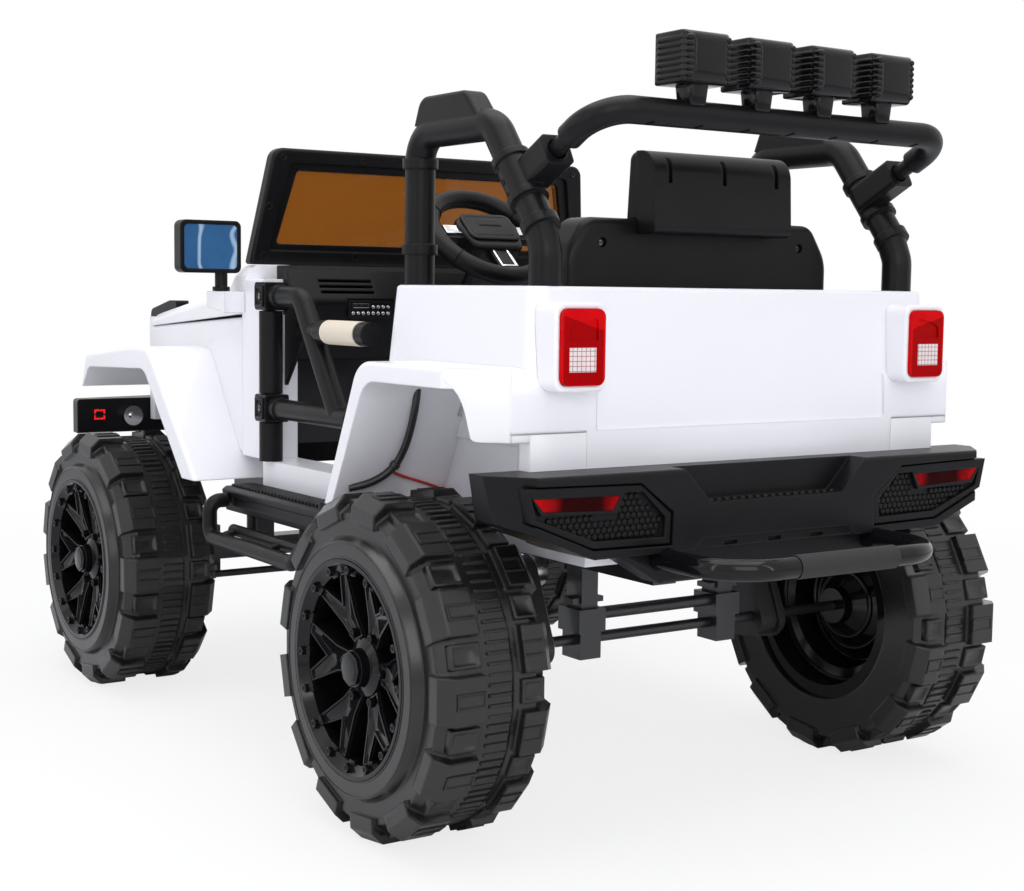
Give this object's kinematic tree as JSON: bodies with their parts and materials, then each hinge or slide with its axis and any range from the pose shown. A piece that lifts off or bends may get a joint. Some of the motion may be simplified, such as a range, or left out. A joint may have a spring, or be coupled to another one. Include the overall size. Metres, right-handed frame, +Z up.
{
  "type": "ride-on toy off-road car",
  "caption": "Children's battery ride-on off-road car with an open cabin, roll hoops, a rear light bar, tube doors and working steering.",
  "frame": {"origin": "on the ground, under the middle of the car's overall length and width", "axes": "+X forward, +Y to the car's left, +Z up"},
  "size_m": [1.328, 0.788, 0.816],
  "materials": {
    "white_plastic": "white moulded plastic with a soft gloss",
    "black_plastic": "black moulded plastic, satin",
    "gloss_black": "glossy black tube",
    "tyre_plastic": "black hard tyre plastic",
    "rim_plastic": "black wheel plastic",
    "tinted_pane": "amber-brown tinted clear plastic",
    "red_lens": "red lamp lens",
    "clear_lens": "clear lamp lens",
    "bright_trim": "bright lamp can",
    "mirror_foil": "blue reflective foil",
    "grip_foam": "black foam",
    "beige_plastic": "beige sleeve",
    "gearbox_plastic": "natural gearbox plastic",
    "battery_case": "battery case",
    "painted_steel": "black painted steel",
    "wire_black": "black cable sleeve",
    "wire_red": "red cable sleeve"
  },
  "bodies": {
    "car": {"battery": "battery_case", "body_tub": "white_plastic", "bonnet": "white_plastic", "bonnet_latches": "black_plastic", "bumper_inserts": "black_plastic", "bumper_reflectors": "red_lens", "chassis": "painted_steel", "dashboard": "black_plastic", "door_posts": "black_plastic", "drive_units": "gearbox_plastic", "fog_lamps": "bright_trim", "front_axle": "painted_steel", "front_body": "white_plastic", "front_bumper": "black_plastic", "grille": "white_plastic", "headlamps": "clear_lens", "headrest": "black_plastic", "light_bar": "black_plastic", "mirror_brackets": "white_plastic", "mirror_faces": "mirror_foil", "mirrors": "black_plastic", "motor_leads_black": "wire_black", "motor_leads_red": "wire_red", "rear_axle": "painted_steel", "rear_bumper": "black_plastic", "reverse_lenses": "clear_lens", "roll_hoops": "black_plastic", "roof_lamp_lenses": "clear_lens", "roof_lamps": "black_plastic", "seat": "black_plastic", "side_rails": "black_plastic", "side_steps": "black_plastic", "tail_lamp_housings": "white_plastic", "tail_lamp_lenses": "red_lens", "tow_grip": "grip_foam", "tow_handle": "gloss_black", "windscreen_frame": "black_plastic", "windscreen_pane": "tinted_pane"},
    "wheel_front_left": {"tyre_front_left": "tyre_plastic", "rim_front_left": "rim_plastic"},
    "wheel_front_right": {"tyre_front_right": "tyre_plastic", "rim_front_right": "rim_plastic"},
    "wheel_rear_left": {"tyre_rear_left": "tyre_plastic", "rim_rear_left": "rim_plastic"},
    "wheel_rear_right": {"tyre_rear_right": "tyre_plastic", "rim_rear_right": "rim_plastic"},
    "knuckle_left": {"knuckle_left": "painted_steel"},
    "knuckle_right": {"knuckle_right": "painted_steel"},
    "tie_rod": {"tie_rod": "painted_steel"},
    "steering": {"steering_wheel": "black_plastic"},
    "door_left": {"door_left": "black_plastic", "armrest_left": "beige_plastic"},
    "door_right": {"door_right": "black_plastic", "armrest_right": "beige_plastic"}
  },
  "joints": [
    {"name": "steering_wheel_turn", "type": "hinge", "parent": "car", "child": "steering", "pos_m": [0, 0, 0.63], "axis": [0.649, 0, -0.7608], "range_deg": [-56, 56]},
    {"name": "knuckle_left_steer", "type": "hinge", "parent": "car", "child": "knuckle_left", "pos_m": [0.446, 0.218, 0.178], "axis": [0, 0, 1], "range_deg": [-22, 22]},
    {"name": "knuckle_right_steer", "type": "hinge", "parent": "car", "child": "knuckle_right", "pos_m": [0.446, -0.218, 0.178], "axis": [0, 0, 1], "range_deg": [-22, 22]},
    {"name": "tie_rod_pin", "type": "hinge", "parent": "knuckle_left", "child": "tie_rod", "pos_m": [0.386, 0.218, 0.15], "axis": [0, 0, 1], "range_deg": [-22, 22]},
    {"name": "wheel_front_left_spin", "type": "hinge", "parent": "knuckle_left", "child": "wheel_front_left", "pos_m": [0.446, 0.326, 0.178], "axis": [0, 1, 0], "continuous": true},
    {"name": "wheel_front_right_spin", "type": "hinge", "parent": "knuckle_right", "child": "wheel_front_right", "pos_m": [0.446, -0.326, 0.178], "axis": [0, 1, 0], "continuous": true},
    {"name": "wheel_rear_left_spin", "type": "hinge", "parent": "car", "child": "wheel_rear_left", "pos_m": [-0.351, 0.326, 0.178], "axis": [0, 1, 0], "continuous": true},
    {"name": "wheel_rear_right_spin", "type": "hinge", "parent": "car", "child": "wheel_rear_right", "pos_m": [-0.351, -0.326, 0.178], "axis": [0, 1, 0], "continuous": true},
    {"name": "door_left_hinge", "type": "hinge", "parent": "car", "child": "door_left", "pos_m": [0.05, 0.283, 0.455], "axis": [0, 0, -1], "range_deg": [0, 65]},
    {"name": "door_right_hinge", "type": "hinge", "parent": "car", "child": "door_right", "pos_m": [0.05, -0.283, 0.455], "axis": [0, 0, 1], "range_deg": [0, 65]}
  ],
  "couplings": [
    {"joint": "knuckle_left_steer", "follows": "steering_wheel_turn", "ratio": -0.39},
    {"joint": "knuckle_right_steer", "follows": "steering_wheel_turn", "ratio": -0.39},
    {"joint": "tie_rod_pin", "follows": "steering_wheel_turn", "ratio": 0.39}
  ]
}
